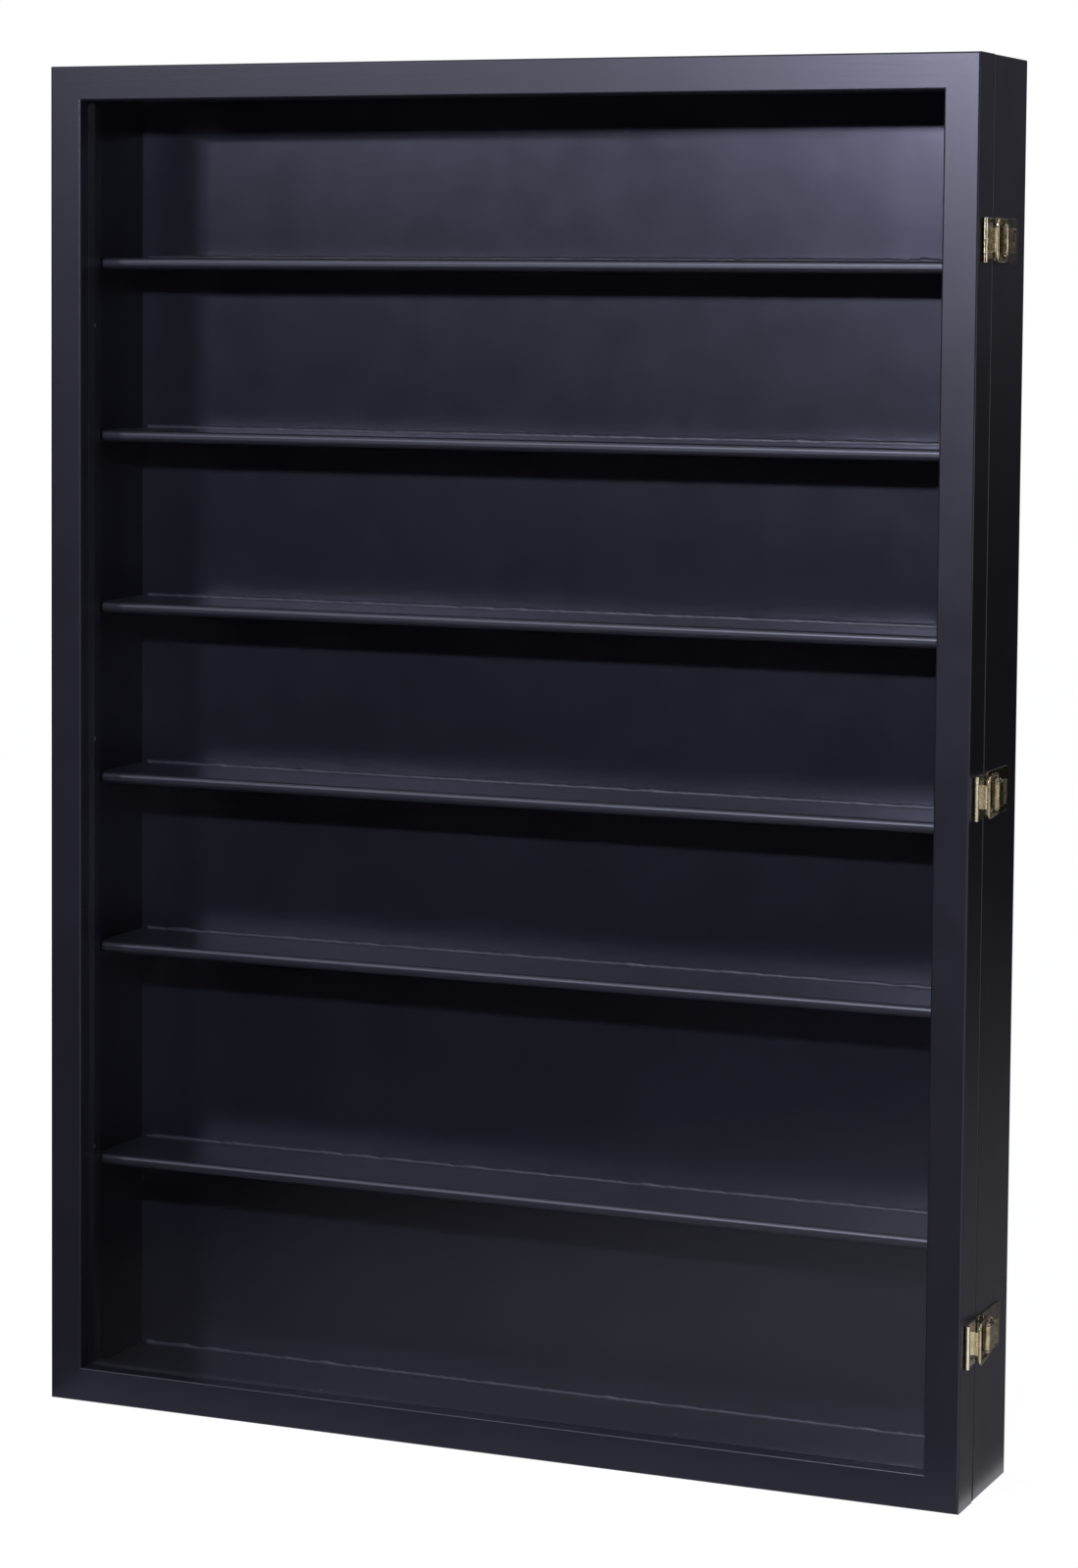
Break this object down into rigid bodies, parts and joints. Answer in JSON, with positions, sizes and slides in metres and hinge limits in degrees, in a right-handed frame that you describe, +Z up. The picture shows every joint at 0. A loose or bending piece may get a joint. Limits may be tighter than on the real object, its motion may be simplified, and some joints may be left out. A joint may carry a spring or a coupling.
{
  "type": "wall display cabinet",
  "caption": "Shallow black wall cabinet with shelves for small glasses, a hinged glazed door, and toggle latches on its side.",
  "frame": {"origin": "centre of the back, on the wall plane", "axes": "+Z up, +Y into the wall, so the glazed door faces -Y; +X is the latch side"},
  "size_m": [0.5187, 0.079, 0.711],
  "materials": {
    "black_lacquer": "satin black lacquer",
    "back_lacquer": "satin black lacquer on thin board",
    "clear_acrylic": "polished clear sheet",
    "antique_brass": "antiqued brass, rubbed bright on the high places",
    "hinge_brass": "satin brass",
    "zinc_steel": "bright zinc plate"
  },
  "bodies": {
    "case": {"case_side_left": "black_lacquer", "case_side_right": "black_lacquer", "case_top": "black_lacquer", "case_bottom": "black_lacquer", "back_panel": "back_lacquer", "back_panel_brads": "zinc_steel", "shelf_1": "black_lacquer", "shelf_2": "black_lacquer", "shelf_3": "black_lacquer", "shelf_4": "black_lacquer", "shelf_5": "black_lacquer", "shelf_6": "black_lacquer", "hanger_plate_left": "zinc_steel", "hanger_plate_right": "zinc_steel", "hanger_screws": "zinc_steel", "hinge_case_screws": "hinge_brass", "latch_base_nails": "antique_brass", "hinge_case_leaf_top": "hinge_brass", "hinge_pin_top": "hinge_brass", "latch_base_top": "antique_brass", "latch_pin_top": "antique_brass", "hinge_case_leaf_middle": "hinge_brass", "hinge_pin_middle": "hinge_brass", "latch_base_middle": "antique_brass", "latch_pin_middle": "antique_brass", "hinge_case_leaf_bottom": "hinge_brass", "hinge_pin_bottom": "hinge_brass", "latch_base_bottom": "antique_brass", "latch_pin_bottom": "antique_brass"},
    "door": {"door_stile_left": "black_lacquer", "door_stile_right": "black_lacquer", "door_rail_top": "black_lacquer", "door_rail_bottom": "black_lacquer", "glazing_pane": "clear_acrylic", "glazing_strip_left": "black_lacquer", "glazing_strip_right": "black_lacquer", "glazing_strip_top": "black_lacquer", "glazing_strip_bottom": "black_lacquer", "glazing_strip_brads": "zinc_steel", "hinge_door_screws": "hinge_brass", "latch_catch_nails": "antique_brass", "hinge_door_leaf_top": "hinge_brass", "latch_catch_top": "antique_brass", "hinge_door_leaf_middle": "hinge_brass", "latch_catch_middle": "antique_brass", "hinge_door_leaf_bottom": "hinge_brass", "latch_catch_bottom": "antique_brass"},
    "lever_top": {"latch_lever_top": "antique_brass"},
    "loop_top": {"latch_loop_top": "antique_brass"},
    "lever_middle": {"latch_lever_middle": "antique_brass"},
    "loop_middle": {"latch_loop_middle": "antique_brass"},
    "lever_bottom": {"latch_lever_bottom": "antique_brass"},
    "loop_bottom": {"latch_loop_bottom": "antique_brass"}
  },
  "joints": [
    {"name": "door_hinge", "type": "hinge", "parent": "case", "child": "door", "pos_m": [-0.2564, -0.0552, 0], "axis": [0, 0, -1], "range_deg": [0, 170]},
    {"name": "latch_lever_hinge_top", "type": "hinge", "parent": "case", "child": "lever_top", "pos_m": [0.258, -0.048, 0.266], "axis": [0, 0, -1], "range_deg": [0, 150]},
    {"name": "latch_loop_hinge_top", "type": "hinge", "parent": "lever_top", "child": "loop_top", "pos_m": [0.2569, -0.042, 0.266], "axis": [0, 0, -1], "range_deg": [-150, 0]},
    {"name": "latch_lever_hinge_middle", "type": "hinge", "parent": "case", "child": "lever_middle", "pos_m": [0.258, -0.048, -0.004], "axis": [0, 0, -1], "range_deg": [0, 150]},
    {"name": "latch_loop_hinge_middle", "type": "hinge", "parent": "lever_middle", "child": "loop_middle", "pos_m": [0.2569, -0.042, -0.004], "axis": [0, 0, -1], "range_deg": [-150, 0]},
    {"name": "latch_lever_hinge_bottom", "type": "hinge", "parent": "case", "child": "lever_bottom", "pos_m": [0.258, -0.048, -0.274], "axis": [0, 0, -1], "range_deg": [0, 150]},
    {"name": "latch_loop_hinge_bottom", "type": "hinge", "parent": "lever_bottom", "child": "loop_bottom", "pos_m": [0.2569, -0.042, -0.274], "axis": [0, 0, -1], "range_deg": [-150, 0]}
  ],
  "couplings": [
    {"joint": "latch_loop_hinge_top", "follows": "latch_lever_hinge_top", "ratio": -1},
    {"joint": "latch_loop_hinge_middle", "follows": "latch_lever_hinge_middle", "ratio": -1},
    {"joint": "latch_loop_hinge_bottom", "follows": "latch_lever_hinge_bottom", "ratio": -1}
  ]
}
